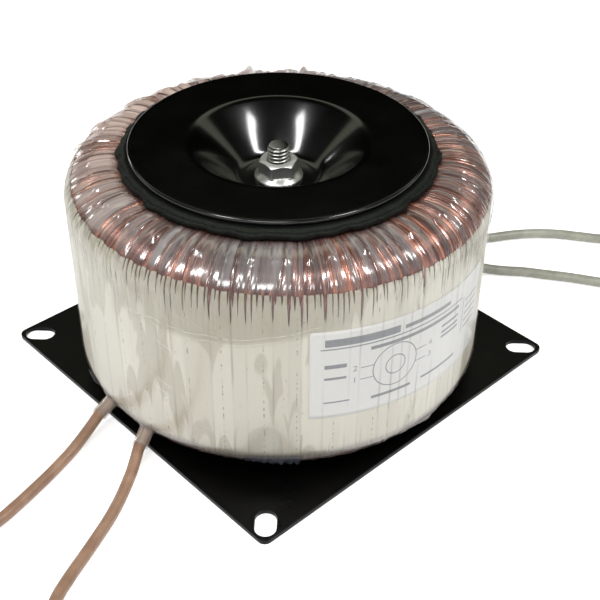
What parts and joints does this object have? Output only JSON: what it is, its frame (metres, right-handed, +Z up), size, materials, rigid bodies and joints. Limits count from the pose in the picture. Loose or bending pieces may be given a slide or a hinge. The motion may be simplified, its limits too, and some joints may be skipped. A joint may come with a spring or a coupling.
{
  "type": "toroidal transformer",
  "caption": "Film-wrapped toroidal power transformer clamped to a slotted square mounting plate by a dished washer, a centre stud and a flange nut, with flying leads.",
  "frame": {"origin": "centre of the mounting plate's underside", "axes": "+Z up along the centre stud, X and Y along the plate's diagonals, so that the corner slots run along them"},
  "size_m": [0.3081, 0.3003, 0.0939],
  "materials": {
    "black_paint": "gloss",
    "zinc": "bright zinc plate",
    "rubber_pad": "matt",
    "core_steel": "satin",
    "insulation": "satin",
    "copper": "enamelled wire",
    "band": "satin",
    "paper": "matt",
    "clear_film": "clear gloss",
    "clear_sleeve": "clear",
    "brown_lead": "satin",
    "grey_lead": "satin",
    "tinned_copper": "tinned strands"
  },
  "bodies": {
    "root": {"mounting_plate": "black_paint", "centre_stud": "zinc", "lower_pad": "rubber_pad", "core": "core_steel", "core_wrap": "insulation", "primary_winding": "copper", "barrier_wrap": "insulation", "secondary_winding": "copper", "outer_band": "band", "label": "paper", "outer_film": "clear_film", "upper_pad": "rubber_pad", "dished_washer": "black_paint", "flange_nut": "zinc", "primary_sleeve_1": "clear_sleeve", "primary_sleeve_2": "clear_sleeve", "secondary_sleeve_1": "clear_sleeve", "secondary_sleeve_2": "clear_sleeve", "primary_lead_1": "brown_lead", "primary_lead_2": "brown_lead", "secondary_lead_1": "grey_lead", "secondary_lead_2": "grey_lead", "primary_end_1": "tinned_copper", "primary_end_2": "tinned_copper", "secondary_end_1": "tinned_copper", "secondary_end_2": "tinned_copper"}
  },
  "joints": []
}
